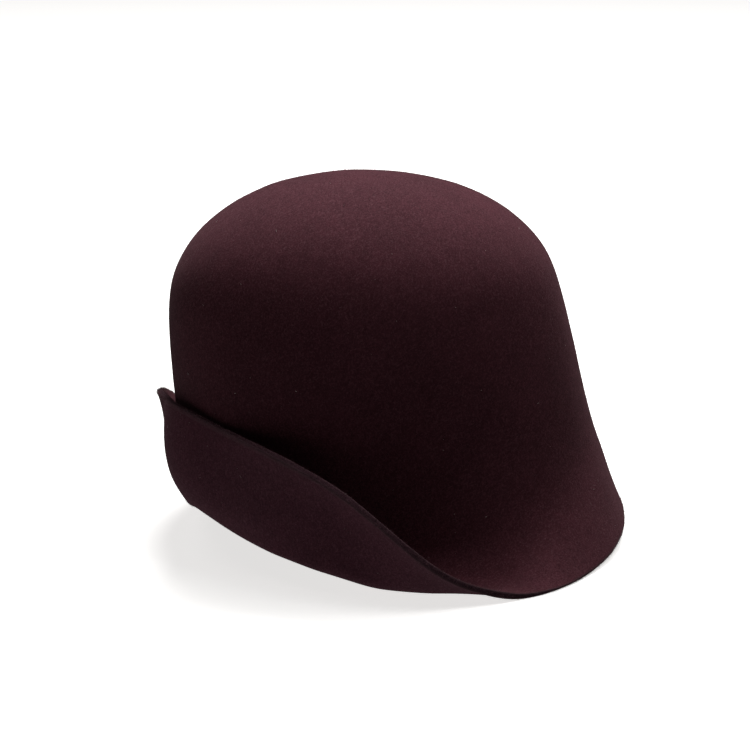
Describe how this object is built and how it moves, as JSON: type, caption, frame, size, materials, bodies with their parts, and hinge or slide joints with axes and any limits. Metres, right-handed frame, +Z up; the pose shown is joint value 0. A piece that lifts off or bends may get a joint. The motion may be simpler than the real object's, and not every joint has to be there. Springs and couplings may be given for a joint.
{
  "type": "cloche hat",
  "caption": "Felt cloche hat with a round crown, its brim turned up as a cuff round the front and flared down like a bell round the back.",
  "frame": {"origin": "on the surface that the hat stands on, under the middle of its bounding box", "axes": "+Z up through the crown, -Y towards the front where the brim is turned up, +X towards the wearer's left"},
  "size_m": [0.25, 0.2426, 0.187],
  "materials": {
    "felt": "matt wool felt with a short nap"
  },
  "bodies": {
    "root": {"felt_shell": "felt"}
  },
  "joints": []
}
